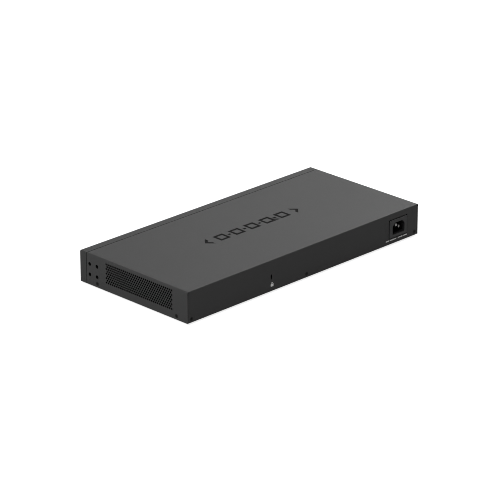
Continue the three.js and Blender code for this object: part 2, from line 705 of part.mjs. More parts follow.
// An upright heatsink with a lip along its top, bent to the left or to the right.
function bentPlate({ x, y, length }, toRight) {
  const { height, sheet, lip } = HEATSINK;
  const half = sheet / 2;
  const [y0, y1] = [y - length / 2, y + length / 2];
  const top = SUPPLY_TOP + height;
  const wall = box(x - half, x + half, y0, y1, SUPPLY_TOP, top);
  const x0 = toRight ? x - half : x - lip;
  return join(wall, box(x0, x0 + lip + half, y0, y1, top - sheet, top));
}

// Two-core output lead: a loop from the supply board to the plug in the main board header.
function outputCable() {
  const start = SUPPLY_TOP + CLEARANCE;
  const plugTop = BOARD_TOP + 11;
  const path = [
    [-133, 12, start],
    [-133, 12, start + 12],
    [-124, 11.5, start + 20],
    [-112, 10.5, start + 19],
    [HEADER.x - 1, HEADER.y, start + 12],
    [HEADER.x, HEADER.y, plugTop - 2],
  ];
  const plug = box(HEADER.x - 2.7, HEADER.x + 2.7, HEADER.y - 4.7, HEADER.y + 4.7, BOARD_TOP + 2.3, plugTop);
  return join(swept(path, 1.4, 2.6, 26), plug);
}

// Earth lead: from the supply board beside the inlet to a ring held on the floor of the pan.
function earthLead() {
  const { x, y, radius, bore } = EARTH_RING;
  const ring = cut(rod(radius, "z", SHEET + FIT, SHEET + 1.2, x, y), rod(bore, "z", 0, 4, x, y));
  const path = [
    [-137, 78, SUPPLY_TOP + CLEARANCE],
    [-137, 78, SUPPLY_TOP + 8],
    [-129, 78.5, SUPPLY_TOP + 10],
    [x - 3.5, y - 0.5, SUPPLY_TOP + 2],
    [x - 2.5, y, SHEET + 0.9],
  ];
  return join(swept(path, 0.9, 0.9, 18), ring);
}

function buildSupply() {
  piece("insulation_sheet", insulationSheet(), filmPlastic);
  piece("supply_board", supplyBoard(), tanLaminate);
  SUPPLY_SCREWS.forEach((at, i) => {
    piece(`supply_board_screw_${i + 1}`, panHeadScrew(at, SUPPLY_BOARD_Z + BOARD), zinc);
  });
  piece("power_inlet", powerInlet(), blackPlastic);
  for (const name of Object.keys(BLADE_TIP)) {
    piece(`${name}_blade`, blade(name), nickel);
  }
  piece("fuse", rod(FUSE.radius, "z", SUPPLY_TOP, SUPPLY_TOP + FUSE.height, FUSE.x, FUSE.y), redPlastic);
  piece("x_capacitor", filmCapacitor(), filmBox);
  piece("line_choke", toroidChoke(), copper);
  piece("bulk_capacitor", canCapacitor(BULK_CAPACITOR.x, BULK_CAPACITOR), canSleeve);
  piece("primary_heatsink", bentPlate(PRIMARY_HEATSINK, false), aluminium);
  piece("supply_transformer", transformer(), ferrite);
  piece("secondary_heatsink", bentPlate(SECONDARY_HEATSINK, true), aluminium);
  OUTPUT_CAPACITOR.x.forEach((x, i) => {
    piece(`output_capacitor_${i + 1}`, canCapacitor(x, OUTPUT_CAPACITOR), canSleeve);
  });
  piece("output_cable", outputCable(), blackPlastic);
  piece("earth_lead", earthLead(), earthSleeve);
}

buildCase();
buildMainBoard();
buildSupply();

export default model;
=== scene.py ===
import json
import math

import bmesh
import bpy
from mathutils import Matrix, Vector


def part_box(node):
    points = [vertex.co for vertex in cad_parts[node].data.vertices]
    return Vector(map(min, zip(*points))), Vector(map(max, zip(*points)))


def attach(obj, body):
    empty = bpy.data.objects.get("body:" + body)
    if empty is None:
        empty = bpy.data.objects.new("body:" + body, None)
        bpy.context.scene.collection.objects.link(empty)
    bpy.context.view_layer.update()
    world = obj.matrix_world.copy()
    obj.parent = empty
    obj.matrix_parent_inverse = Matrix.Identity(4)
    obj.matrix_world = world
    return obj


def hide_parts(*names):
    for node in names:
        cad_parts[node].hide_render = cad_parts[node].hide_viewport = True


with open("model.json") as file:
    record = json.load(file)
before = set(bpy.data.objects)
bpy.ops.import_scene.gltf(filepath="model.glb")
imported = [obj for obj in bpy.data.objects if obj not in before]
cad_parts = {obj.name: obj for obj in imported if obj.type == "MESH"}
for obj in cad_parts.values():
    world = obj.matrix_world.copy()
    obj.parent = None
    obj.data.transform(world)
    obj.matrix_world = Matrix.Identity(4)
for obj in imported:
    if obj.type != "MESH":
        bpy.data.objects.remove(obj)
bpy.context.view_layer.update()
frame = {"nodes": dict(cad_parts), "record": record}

# --- Places, from the frame ------------------------------------------------------------------

MM = 0.001
CASE = "chassis"
COVER_LOW, COVER_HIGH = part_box("top_cover")
FASCIA_LOW, FASCIA_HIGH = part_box("front_fascia")
RIGHT = COVER_HIGH.x / MM
REAR = COVER_HIGH.y / MM
TOP = COVER_HIGH.z / MM
BOTTOM = COVER_LOW.z / MM
COVER_FRONT = COVER_LOW.y / MM
FRONT = FASCIA_LOW.y / MM
MIDDLE_Y = (FRONT + REAR) / 2

# Sheet metal, millimetres. Reliefs are the small cuts that let the flaps fold at the rear corners.
SHEET = 1.0
RIM = 0.12
SIDE_BEND = 2.0
REAR_BEND = 1.0
SEAM = 0.8
CORNER_TAB = 2.6
TAB_GAP = 0.3
TAB_DROP = 3.2
SLIT = 0.4
RELIEF = 0.2
FLAP_START = 2.2
FLAP_END = 2.8
FOLD_GUARD = 0.3
SIDE_FOLDS = 8
REAR_FOLDS = 6

# Vent field in each side: staggered rows of round holes.
VENT_ROWS = 9
VENT_ROW_PITCH = 3.242
VENT_PITCH = 3.744
VENT_LONG_ROW = 34
VENT_RADIUS = 1.5
VENT_CORNERS = 14
VENT_Y = MIDDLE_Y + 11.15
VENT_Z = BOTTOM + 25.25
VENT_BAND = (BOTTOM + 9, BOTTOM + 40)

EAR_Y = (MIDDLE_Y - 83, MIDDLE_Y - 68.9)
EAR_Z = (BOTTOM + 14.6, BOTTOM + 29.4)
EAR_HOLE = 2.6
EAR_NUT = {"bore": 1.9, "radius": 3.2, "depth": 2.0, "chamfer": 0.35}

LOCK = {"x": 66.6, "z": BOTTOM + 19.95, "width": 3.0, "height": 7.0, "corner": 0.9}
PADLOCK = {"x": 65.5, "z": BOTTOM + 9.4}
SCREW_HOLE = 2.9
SCREW_HEAD = 2.8
CROSS = {"arm": 0.42, "reach": 1.55, "depth": 1.3, "taper": 0.55}

FASCIA_WALL = 2.2
FASCIA_FRONT_EDGE = 0.9
FASCIA_BACK_EDGE = 0.45
FASCIA_INNER_CORNER = 0.4
FASCIA_EDGE = 0.15
FASCIA_SHADE = 0.16
LAP_INSET = 1.5
WINDOW_GAP = 0.3
BUTTON_HOLE = 1.4
LIGHT_HOLE = 1.6

INLET_GAP = 1.1
INLET_CORNER = 0.8
MOUTH = {"half_x": 11.9, "half_z": 8.15, "chamfer": 4.6, "depth": 16.5, "flare": (1.01, 1.05)}
BLADE = {"width": 2.0, "height": 4.0, "leg": 1.2}
BLADES = ("live_blade", "neutral_blade", "earth_blade")

# Printed figures and marks: how tall the figures are, how far from the ports, and the ink's thickness.
FIGURE_SIZE = 2.4
FIGURE_ABOVE = 2.6
FIGURE_BELOW = 2.4
INK = 0.03
INK_RIM = 0.005
RATING_BARS = ((155.3, 161.7), (163.1, 176.1), (178.9, 188.3), (189.2, 197.2))
RATING_Z = BOTTOM + 5.7


def centre(node):
    """The middle of a CAD node, in millimetres."""
    low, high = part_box(node)
    return (low + high) / 2 / MM


def size(node):
    """The size of a CAD node, in millimetres."""
    low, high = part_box(node)
    return (high - low) / MM


# --- Materials -------------------------------------------------------------------------------


class Nodes:
    """A node tree that is filled in by short calls."""

    def __init__(self, name):
        self.material = bpy.data.materials.new(name)
        self.material.use_nodes = True
        self.tree = self.material.node_tree
        self.shader = self.tree.nodes["Principled BSDF"]

    def add(self, kind, values=None, **settings):
        node = self.tree.nodes.new(kind)
        for key, value in settings.items():
            setattr(node, key, value)
        for key, value in (values or {}).items():
            self.put(node.inputs[key], value)
        return node

    def put(self, socket, value):
        if isinstance(value, bpy.types.NodeSocket):
            self.tree.links.new(value, socket)
        else:
            socket.default_value = value

    def set(self, **values):
        for key, value in values.items():
            self.put(self.shader.inputs[key.replace("_", " ")], value)

    def place(self):
        return self.add("ShaderNodeTexCoord").outputs["Object"]

    def noise(self, scale, detail=3.0, roughness=0.5, stretch=None):
        where = self.place()
        if stretch:
            where = self.add("ShaderNodeMapping", {"Vector": where, "Scale": stretch}).outputs["Vector"]
        values = {"Vector": where, "Scale": scale, "Detail": detail, "Roughness": roughness}
        return self.add("ShaderNodeTexNoise", values).outputs["Fac"]

    def span(self, value, low, high, start=0.3, end=0.7):
        values = {"Value": value, "From Min": start, "From Max": end, "To Min": low, "To Max": high}
        return self.add("ShaderNodeMapRange", values).outputs["Result"]

    def tint(self, factor, first, second):
        mix = self.add("ShaderNodeMix", data_type="RGBA")
        self.put(mix.inputs["Factor"], factor)
        for key, color in (("A", first), ("B", second)):
            self.put(mix.inputs[key], color if isinstance(color, bpy.types.NodeSocket) else (*color, 1))
        return mix.outputs["Result"]

    def edges(self, radius):
        """1 on convex edges narrower than the radius, and 0 on flat faces."""
        bevel = self.add("ShaderNodeBevel", {"Radius": radius}, samples=4).outputs["Normal"]
        flat = self.add("ShaderNodeNewGeometry").outputs["Normal"]
        dot = self.add("ShaderNodeVectorMath", {0: bevel, 1: flat}, operation="DOT_PRODUCT")
        return self.span(dot.outputs["Value"], 1.0, 0.0, 0.75, 0.98)

    def bump(self, height, strength, distance):
        values = {"Height": height, "Strength": strength, "Distance": distance}
        return self.add("ShaderNodeBump", values).outputs["Normal"]


def scaled(color, factor):
    """A lighter or darker version of a colour."""
    return tuple(min(1.0, c * factor) for c in color)


def coated(name, color, rough, shine=0.3, dark_above=None):
    """Powder coat: fine orange peel, slow changes of sheen and slightly paler edges: wear and painted
    highlight.
    Above the height dark_above, in metres, it is painted as dark as the unlit inside of the case: painted
    shade."""
    n = Nodes(name)
    slow = n.noise(14.0, 4.0, 0.6)
    fine = n.noise(1.0 / (0.45 * MM), 2.0, 0.5)
    base = n.tint(n.span(slow, 0.0, 1.0), scaled(color, 0.97), scaled(color, 1.03))
    # Painted shade: above dark_above the paint falls to a tenth of its colour.
    if dark_above is not None:
        where = n.add("ShaderNodeNewGeometry").outputs["Position"]
        height = n.add("ShaderNodeSeparateXYZ", {"Vector": where}).outputs["Z"]
        inside = n.span(height, 0.0, 1.0, dark_above, dark_above + 0.1 * MM)
        base = n.tint(inside, base, scaled(color, 0.1))
    # Painted highlight and wear: convex edges up to 1.9 times paler than the paint.
    wear_and_highlight = n.add("ShaderNodeMix", data_type="RGBA")
    n.put(wear_and_highlight.inputs["Factor"], n.span(n.edges(0.35 * MM), 0.0, 0.35, 0.0, 1.0))
    n.put(wear_and_highlight.inputs["A"], base)
    n.put(wear_and_highlight.inputs["B"], (*scaled(color, 1.9), 1))
    rough_fine = n.span(fine, rough - 0.04, rough + 0.04)
    rough_slow = n.span(slow, -0.015, 0.015)
    total = n.add("ShaderNodeMath", {0: rough_fine, 1: rough_slow}, operation="ADD").outputs["Value"]
    n.set(Base_Color=wear_and_highlight.outputs["Result"], Roughness=total, Specular_IOR_Level=shine)
    n.set(Normal=n.bump(fine, 0.10, 0.05 * MM))
    return n.material


def plastic(name, color, rough):
    """Moulded plastic with a fine spark texture and faint flow marks."""
    n = Nodes(name)
    fine = n.noise(1.0 / (0.25 * MM), 3.0, 0.6)
    flow = n.noise(60.0, 3.0, 0.5, (1.0, 1.0, 3.0))
    n.set(Base_Color=n.tint(n.span(flow, 0.0, 1.0), scaled(color, 0.9), scaled(color, 1.12)))
    n.set(Roughness=n.span(fine, rough - 0.06, rough + 0.06), Specular_IOR_Level=0.4)
    n.set(Normal=n.bump(fine, 0.06, 0.04 * MM))
    return n.material


def metal(name, color, rough, brushed=(1.0, 14.0, 14.0), depth=0.05):
    """Bare metal with brushed streaks and faint handling stains."""
    n = Nodes(name)
    streaks = n.noise(180.0, 4.0, 0.7, brushed)
    stain = n.noise(45.0, 4.0, 0.6)
    n.set(Base_Color=n.tint(n.span(stain, 0.0, 1.0), scaled(color, 0.82), color), Metallic=1.0)
    n.set(Roughness=n.span(streaks, rough - 0.08, rough + 0.12))
    n.set(Normal=n.bump(streaks, depth, 0.05 * MM))
    return n.material


def rubber(name, color):
    """Matt rubber with a little dust."""
    n = Nodes(name)
    fine = n.noise(2200.0, 2.0, 0.6)
    dust = n.noise(90.0, 5.0, 0.7)
    n.set(Base_Color=n.tint(n.span(dust, 0.0, 1.0), color, scaled(color, 2.2)))
    n.set(Roughness=n.span(dust, 0.72, 0.92), Specular_IOR_Level=0.25)
    n.set(Normal=n.bump(fine, 0.2, 0.08 * MM))
    return n.material


def board(name, color, track):
    """Circuit board: solder mask over a weave of tracks."""
    n = Nodes(name)
    values = {"Vector": n.place(), "Scale": 420.0, "Randomness": 0.35}
    cells = n.add("ShaderNodeTexVoronoi", values, distance="CHEBYCHEV", feature="F1").outputs["Distance"]
    weave = n.noise(900.0, 2.0, 0.5)
    lines = n.span(cells, 0.0, 1.0, 0.40, 0.46)
    n.set(Base_Color=n.tint(lines, color, track), Roughness=n.span(weave, 0.28, 0.42))
    n.set(Normal=n.bump(lines, 0.15, 0.05 * MM))
    return n.material


def clear(name, color):
    """Clear tinted plastic of the lights and their pipes."""
    n = Nodes(name)
    ripple = n.noise(700.0, 2.0, 0.5)
    n.set(Base_Color=(*color, 1), Roughness=n.span(ripple, 0.10, 0.22), Transmission_Weight=0.35)
    n.set(Normal=n.bump(ripple, 0.1, 0.03 * MM))
    return n.material


def ink(name, color):
    """Screen print: thin, slightly uneven ink."""
    n = Nodes(name)
    patchy = n.noise(1500.0, 3.0, 0.6)
    n.set(Base_Color=n.tint(n.span(patchy, 0.0, 1.0), scaled(color, 0.85), color))
    n.set(Roughness=n.span(patchy, 0.55, 0.7), Normal=n.bump(patchy, 0.1, 0.02 * MM))
    return n.material


PAINT = (0.038, 0.038, 0.038)
MATERIALS = {
    "case_paint": coated("case_paint", PAINT, 0.52),
    "fascia_paint": coated("fascia_paint", scaled(PAINT, 0.88), 0.54),
    # The pan's inside is painted shade, a tenth as bright as the outside.
    "pan_paint": coated("pan_paint", scaled(PAINT, 0.9), 0.58, dark_above=(BOTTOM + 0.5) * MM),
    # Near black: painted shade on the cover's underside and hole walls, the fascia's seam and the ear nuts.
    "inner_paint": coated("inner_paint", scaled(PAINT, 0.04), 0.85, shine=0.03),
    "mark_paint": coated("mark_paint", scaled(PAINT, 0.14), 0.7, shine=0.06),
    "screw_black": coated("screw_black", scaled(PAINT, 0.32), 0.48, shine=0.2),
    "screw_zinc": metal("screw_zinc", (0.30, 0.30, 0.31), 0.36),
    "foot_rubber": rubber("foot_rubber", (0.018, 0.018, 0.018)),
    "board_green": board("board_green", (0.003, 0.012, 0.006), (0.005, 0.022, 0.010)),
    "board_tan": board("board_tan", (0.035, 0.020, 0.009), (0.05, 0.03, 0.014)),
    "tinplate": metal("tinplate", (0.70, 0.71, 0.72), 0.28),
    "port_plastic": plastic("port_plastic", (0.012, 0.012, 0.013), 0.5),
    "inlet_plastic": plastic("inlet_plastic", (0.030, 0.030, 0.031), 0.38),
    "blade_metal": metal("blade_metal", (0.92, 0.91, 0.88), 0.3, (14.0, 1.0, 14.0)),
    "contact_gold": metal("contact_gold", (0.86, 0.58, 0.20), 0.2, (14.0, 1.0, 14.0)),
    "chip_package": plastic("chip_package", (0.015, 0.015, 0.016), 0.6),
    "sink_aluminium": metal("sink_aluminium", (0.10, 0.10, 0.105), 0.42, (14.0, 1.0, 14.0)),
    "switch_plastic": plastic("switch_plastic", (0.015, 0.015, 0.016), 0.5),
    "button_plastic": plastic("button_plastic", (0.60, 0.58, 0.53), 0.45),
    "clear_plastic": clear("clear_plastic", (0.80, 0.88, 0.84)),
    "light_green": clear("light_green", (0.25, 0.75, 0.30)),
    "light_amber": clear("light_amber", (0.85, 0.55, 0.15)),
    "header_plastic": plastic("header_plastic", (0.20, 0.19, 0.17), 0.5),
    "film_black": plastic("film_black", (0.02, 0.02, 0.02), 0.35),
    "fuse_body": plastic("fuse_body", (0.30, 0.02, 0.02), 0.3),
    "film_capacitor": plastic("film_capacitor", (0.10, 0.07, 0.015), 0.35),
    "choke_copper": metal("choke_copper", (0.22, 0.09, 0.035), 0.4, (30.0, 30.0, 4.0), 0.4),
    "can_sleeve": plastic("can_sleeve", (0.02, 0.02, 0.035), 0.25),
    "transformer_core": plastic("transformer_core", (0.030, 0.028, 0.028), 0.7),
    "cable_black": plastic("cable_black", (0.015, 0.015, 0.015), 0.5),
    "earth_green": plastic("earth_green", (0.16, 0.27, 0.04), 0.5),
    "white_ink": ink("white_ink", (0.86, 0.86, 0.85)),
}


def paint_cad_nodes():
    """Every CAD node that stays in view takes the finish of its slot in the record."""
    for row in frame["record"]["subparts"]:
        node = frame["nodes"][row["node"]]
        node.data.materials.clear()
        node.data.materials.append(MATERIALS[row["material_slot"]])


# --- Mesh tools ------------------------------------------------------------------------------


def linked(name, data):
    """A new object in the scene."""
    made = bpy.data.objects.new(name, data)
    bpy.context.scene.collection.objects.link(made)
    return made


def finished(holder):
    """The mesh that an object makes. The object itself is removed."""
    graph = bpy.context.evaluated_depsgraph_get()
    mesh = bpy.data.meshes.new_from_object(holder.evaluated_get(graph))
    bpy.data.objects.remove(holder)
    return mesh


def piece(name, mesh, finish, replaced=()):
    """Links a finished mesh, in millimetres, as one named piece of the object.
    Two finishes may be given, and then a face's material index says which it takes."""
    finishes = [finish] if isinstance(finish, str) else finish
    mesh.name = name
    mesh.transform(Matrix.Scale(MM, 4))
    for key in finishes:
        mesh.materials.append(MATERIALS[key])
    made = linked(name, mesh)
    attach(made, CASE)
    if replaced:
        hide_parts(*replaced)


def through(mesh, *settings):
    """The mesh as it comes out of a stack of modifiers: (kind, {setting: value}) pairs."""
    held = linked("held", mesh)
    for kind, values in settings:
        modifier = held.modifiers.new(kind.lower(), kind)
        for key, value in values.items():
            setattr(modifier, key, value)
    made = finished(held)
    bpy.data.meshes.remove(mesh)
    return made


def smooth(mesh, angle=30.0):
    """Smooth shading that keeps large flat faces flat and edges above the angle sharp."""
    mesh.shade_smooth()
    mesh.set_sharp_from_angle(angle=math.radians(angle))
    return through(mesh, ("WEIGHTED_NORMAL", {"keep_sharp": True, "weight": 90}))


def mesh_of(bm):
    """The mesh of a bmesh, with its faces turned outwards."""
    bmesh.ops.recalc_face_normals(bm, faces=bm.faces)
    mesh = bpy.data.meshes.new("made")
    bm.to_mesh(mesh)
    bm.free()
    return mesh


def joined(meshes):
    """One mesh that holds several."""
    bm = bmesh.new()
    for mesh in meshes:
        bm.from_mesh(mesh)
        bpy.data.meshes.remove(mesh)
    made = bpy.data.meshes.new("joined")
    bm.to_mesh(made)
    bm.free()
    return made


def circle(x, y, radius, steps=16):
    turn = 2 * math.pi / steps
    return [(x + radius * math.cos(i * turn), y + radius * math.sin(i * turn)) for i in range(steps)]


def rectangle(x0, x1, y0, y1):
    return [(x0, y0), (x1, y0), (x1, y1), (x0, y1)]


def rounded(loop, radius, steps=4):
    """The same convex or concave loop with each corner rounded."""
    out = []
    count = len(loop)
    for i in range(count):
        a, b, c = (Vector(loop[(i + k) % count]) for k in (-1, 0, 1))
        to_a, to_c = (a - b).normalized(), (c - b).normalized()
        reach = min(radius, (a - b).length / 2, (c - b).length / 2)
        start, end = b + to_a * reach, b + to_c * reach
        for k in range(steps + 1):
            t = k / steps
            point = start * (1 - t) ** 2 + b * 2 * t * (1 - t) + end * t**2
            out.append((point.x, point.y))
    return out


def area(loop):
    return sum(a[0] * b[1] - b[0] * a[1] for a, b in zip(loop, loop[1:] + loop[:1])) / 2


def plate(loops, thickness, rim):
    """A flat plate in (x, y): its first loop is the outline and the rest are holes.
    It lies between z = -thickness and z = 0, and its rims are rounded."""
    curve = bpy.data.curves.new("plate", "CURVE")
    curve.dimensions = "2D"
    curve.fill_mode = "BOTH"
    curve.extrude = thickness / 2 - rim
    curve.bevel_depth = rim
    curve.bevel_resolution = 1
    curve.offset = -rim
    for number, loop in enumerate(loops):
        wanted = 1 if number == 0 else -1
        points = loop if area(loop) * wanted > 0 else loop[::-1]
        spline = curve.splines.new("POLY")
        spline.points.add(len(points) - 1)
        for point, (x, y) in zip(spline.points, points):
            point.co = (x, y, 0, 1)
        spline.use_cyclic_u = True
    mesh = finished(linked("plate", curve))
    mesh.transform(Matrix.Translation((0, 0, -thickness / 2)))
    bm = bmesh.new()
    bm.from_mesh(mesh)
    bpy.data.meshes.remove(mesh)
    bmesh.ops.remove_doubles(bm, verts=bm.verts, dist=0.0005)
    return mesh_of(bm)


FACING = {
    "left": Matrix(((0, 0, -1), (-1, 0, 0), (0, 1, 0))),
    "right": Matrix(((0, 0, 1), (1, 0, 0), (0, 1, 0))),
    "front": Matrix(((1, 0, 0), (0, 0, -1), (0, 1, 0))),
    "rear": Matrix(((-1, 0, 0), (0, 0, 1), (0, 1, 0))),
}


def faced(mesh, side, at):
    """Turns a mesh made in (x, y, outwards) to face a side, and puts its origin at a point."""
    mesh.transform(Matrix.Translation(at) @ FACING[side].to_4x4())
    return mesh


def turned(profile, steps=32):
    """A lathe body about z from (radius, z) pairs that start and end on the axis."""
    bm = bmesh.new()
    rings = []
    for radius, z in profile:
        if radius < 1e-6:
            rings.append([bm.verts.new((0, 0, z))])
        else:
            rings.append([bm.verts.new((x, y, z)) for x, y in circle(0, 0, radius, steps)])
    for a, b in zip(rings, rings[1:]):
        for i in range(steps):
            j = (i + 1) % steps
            corners = [a[i % len(a)], a[j % len(a)], b[j % len(b)], b[i % len(b)]]
            bm.faces.new(list(dict.fromkeys(corners)))
    return mesh_of(bm)


def block(x0, x1, y0, y1, z0, z1, edge=0.0, steps=2):
    """A box with rounded edges."""
    bm = bmesh.new()
    scale = Matrix.Diagonal((x1 - x0, y1 - y0, z1 - z0, 1))
    centre_at = Matrix.Translation(((x0 + x1) / 2, (y0 + y1) / 2, (z0 + z1) / 2))
    bmesh.ops.create_cube(bm, size=1.0, matrix=centre_at @ scale)
    if edge:
        bmesh.ops.bevel(bm, geom=bm.edges[:], offset=edge, segments=steps, profile=0.5, affect="EDGES")
    return mesh_of(bm)


def prism(loop, z0, z1):
    """A straight-sided body over a loop in (x, y)."""
    bm = bmesh.new()
    face = bm.faces.new([bm.verts.new((x, y, z0)) for x, y in loop])
    pushed = bmesh.ops.extrude_face_region(bm, geom=[face])["geom"]
    moved = [g for g in pushed if isinstance(g, bmesh.types.BMVert)]
    bmesh.ops.translate(bm, verts=moved, vec=(0, 0, z1 - z0))
    return mesh_of(bm)


def carved(mesh, tools, operation="DIFFERENCE"):
    """The mesh with each tool cut from it, or joined to it."""
    tool = linked("tool", joined(tools))
    made = through(mesh, ("BOOLEAN", {"operation": operation, "solver": "EXACT", "object": tool}))
    data = tool.data
    bpy.data.objects.remove(tool)
    bpy.data.meshes.remove(data)
    return made


def eased(mesh, width, steps=2, angle=30.0):
    """Rounds the edges sharper than an angle."""
    limit = {"limit_method": "ANGLE", "angle_limit": math.radians(angle)}
    return through(mesh, ("BEVEL", {"width": width, "segments": steps, **limit}))


def shaded(mesh, test):
    """Gives the second finish to the faces whose middle and normal pass a test."""
    for face in mesh.polygons:
        face.material_index = int(test(face.center, face.normal))
    return mesh


# --- Top cover: one folded sheet --------------------------------------------------------------

SIDE_START = RIGHT - SIDE_BEND
SIDE_ARC = SIDE_BEND * math.pi / 2
REAR_START = REAR - REAR_BEND
REAR_ARC = REAR_BEND * math.pi / 2
SIDE_END = SIDE_START + SIDE_ARC + TOP - SIDE_BEND - BOTTOM
REAR_END = REAR_START + REAR_ARC + TOP - REAR_BEND - BOTTOM


def side_u(z):
    """How far from the centre line of the flat blank a height on a side lies."""
    return SIDE_START + SIDE_ARC + TOP - SIDE_BEND - z


def rear_v(z):
    """How far along the flat blank a height on the rear lies."""
    return REAR_START + REAR_ARC + TOP - REAR_BEND - z


def vent_loops(side):
    """The vent holes of one side, as loops in the flat blank."""
    loops = []
    for row in range(VENT_ROWS):
        z = VENT_Z + (row - (VENT_ROWS - 1) / 2) * VENT_ROW_PITCH
        count = VENT_LONG_ROW - row % 2
        for i in range(count):
            y = VENT_Y + (i - (count - 1) / 2) * VENT_PITCH
            loops.append(circle(side * side_u(z), y, VENT_RADIUS, VENT_CORNERS))
    return loops


TAB_START = side_u(TOP - TAB_DROP)
TAB_END = REAR_START + REAR_ARC + CORNER_TAB - REAR_BEND


def blank_outline():
    """The flat blank: the top with a flap on each side and one at the rear, with a tab on each side
    flap that turns the rear corner, and reliefs between them."""
    relief = REAR - REAR_BEND - RELIEF
    inner = RIGHT - CORNER_TAB - TAB_GAP
    half = [
        (SIDE_END, COVER_FRONT),
        (SIDE_END, TAB_END),
        (TAB_START, TAB_END),
        (TAB_START, relief),
        (TAB_START - SLIT, relief),
        (TAB_START - SLIT, REAR),
        (SIDE_START, REAR),
        (SIDE_START, relief),
        (SIDE_START - SLIT, relief),
        (SIDE_START - SLIT, REAR + FLAP_START),
        (inner, REAR + FLAP_END),
        (inner, REAR_END),
    ]
    return half + [(-x, y) for x, y in reversed(half)]


MARK = {"x": -1.3, "y": MIDDLE_Y - 1.65, "length": 178.0, "height": 21.0, "stroke": 4.0, "depth": 0.5}
MARK_SQUARES = {"count": 5, "side": 18.0, "pitch": 28.6, "link": 4.6}


def mark_square_middles():
    """The x of each square of the mark."""
    count, pitch = MARK_SQUARES["count"], MARK_SQUARES["pitch"]
    return [MARK["x"] + (i - (count - 1) / 2) * pitch for i in range(count)]


def square(x, half):
    """A square of the mark, centred on its line."""
    return rectangle(x - half, x + half, MARK["y"] - half, MARK["y"] + half)


def mark_loops():
    """A generic pictogram: a chain of hollow squares and short links between two arrow heads."""
    half, high, stroke = MARK["length"] / 2, MARK["height"] / 2, MARK["stroke"]
    slant = stroke * math.sqrt(2)
    tip = [(0, 0), (high, high), (high, high - slant), (slant, 0), (high, slant - high), (high, -high)]
    x0, y0 = MARK["x"], MARK["y"]
    loops = [[(x0 + turn * (x - half), y0 + y) for x, y in tip] for turn in (1, -1)]
    middles = mark_square_middles()
    loops += [square(x, MARK_SQUARES["side"] / 2) for x in middles]
    reach = MARK_SQUARES["link"] / 2
    for a, b in zip(middles, middles[1:]):
        x = (a + b) / 2
        loops.append(rectangle(x - reach, x + reach, y0 - stroke / 2, y0 + stroke / 2))
    return loops


def mark_islands():
    """The squares of sheet left standing inside the hollow squares of the mark."""
    return [square(x, MARK_SQUARES["side"] / 2 - MARK["stroke"]) for x in mark_square_middles()]


def screw_places():
    """Each cover screw: node, side it faces and the point on the surface."""
    places = []
    for node in frame["nodes"]:
        if not node.startswith("cover_screw_"):
            continue
        at = centre(node)
        side = node.split("_")[2]
        face = {"left": (-RIGHT, at.y, at.z), "right": (RIGHT, at.y, at.z), "rear": (at.x, REAR, at.z)}[side]
        places.append((node, side, face))
    return places


def blank_holes():
    """Vents, ear and screw holes, the lock slot and the inlet opening, in the flat blank."""
    loops = []
    for side in (-1, 1):
        loops += vent_loops(side)
        for y in EAR_Y:
            for z in EAR_Z:
                loops.append(circle(side * side_u(z), y, EAR_HOLE, 24))
    for _, side, (x, y, z) in screw_places():
        where = (x, rear_v(z)) if side == "rear" else (math.copysign(side_u(z), x), y)
        loops.append(circle(*where, SCREW_HOLE, 28))
    half = LOCK["width"] / 2
    lock_low = rear_v(LOCK["z"] + LOCK["height"] / 2)
    lock_high = rear_v(LOCK["z"] - LOCK["height"] / 2)
    lock = rectangle(LOCK["x"] - half, LOCK["x"] + half, lock_low, lock_high)
    loops.append(rounded(lock, LOCK["corner"]))
    low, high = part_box("power_inlet")
    gap = INLET_GAP
    v0, v1 = rear_v(high.z / MM + gap), rear_v(low.z / MM - gap)
    opening = rectangle(low.x / MM - gap, high.x / MM + gap, v0, v1)
    loops.append(rounded(opening, INLET_CORNER))
    return loops


def bend_lines():
    """Places across the blank where it is scored, so that it folds smoothly."""
    lines = []
    for start, arc, folds in ((SIDE_START, SIDE_ARC, SIDE_FOLDS), (REAR_START, REAR_ARC, REAR_FOLDS)):
        bent = [start + arc * i / folds for i in range(folds + 1)]
        lines.append([start - FOLD_GUARD] + bent + [start + arc + FOLD_GUARD])
    return lines


def folded(point):
    """Where a point of the flat blank goes when the flaps are folded down."""
    u, v, w = point
    across = abs(u)
    if across > TAB_START - SLIT / 2 and v > REAR_START:
        turn = min((v - REAR_START) / REAR_BEND, math.pi / 2)
        along = max(v - REAR_START - REAR_ARC, 0.0)
        reach = REAR_BEND + w
        x = RIGHT - REAR_BEND + reach * math.cos(turn) - along
        z = TOP - SIDE_BEND - (across - SIDE_START - SIDE_ARC)
        return Vector((math.copysign(x, u), REAR_START + reach * math.sin(turn), z))
    if across > SIDE_START and v <= REAR + 0.01:
        turn = min((across - SIDE_START) / SIDE_BEND, math.pi / 2)
        drop = max(across - SIDE_START - SIDE_ARC, 0.0)
        reach = SIDE_BEND + w
        x = SIDE_START + reach * math.sin(turn)
        z = TOP - SIDE_BEND + reach * math.cos(turn) - drop
        return Vector((math.copysign(x, u), v, z))
    if v > REAR_START and across < SIDE_START - 0.05 or v > REAR + 0.01:
        turn = min((v - REAR_START) / REAR_BEND, math.pi / 2)
        drop = max(v - REAR_START - REAR_ARC, 0.0)
        reach = REAR_BEND + w
        y = REAR_START + reach * math.sin(turn)
        z = TOP - REAR_BEND + reach * math.cos(turn) - drop
        return Vector((u, y, z))
    return Vector((u, v, TOP + w))


def score(bm, lines, axis):
    """Cuts the faces of a mesh in two along straight lines across an axis."""
    for at in lines:
        geometry = bm.verts[:] + bm.edges[:] + bm.faces[:]
        bmesh.ops.bisect_plane(bm, geom=geometry, dist=1e-5, plane_co=axis * at, plane_no=axis)


def wall_of_vent(face):
    """True on the wall of a vent or ear hole, which takes the near-black finish as painted shade."""
    middle = face.calc_center_median()
    lowest, highest = VENT_BAND
    return abs(face.normal.z) < 0.3 and side_u(highest) < abs(middle.x) < side_u(lowest)


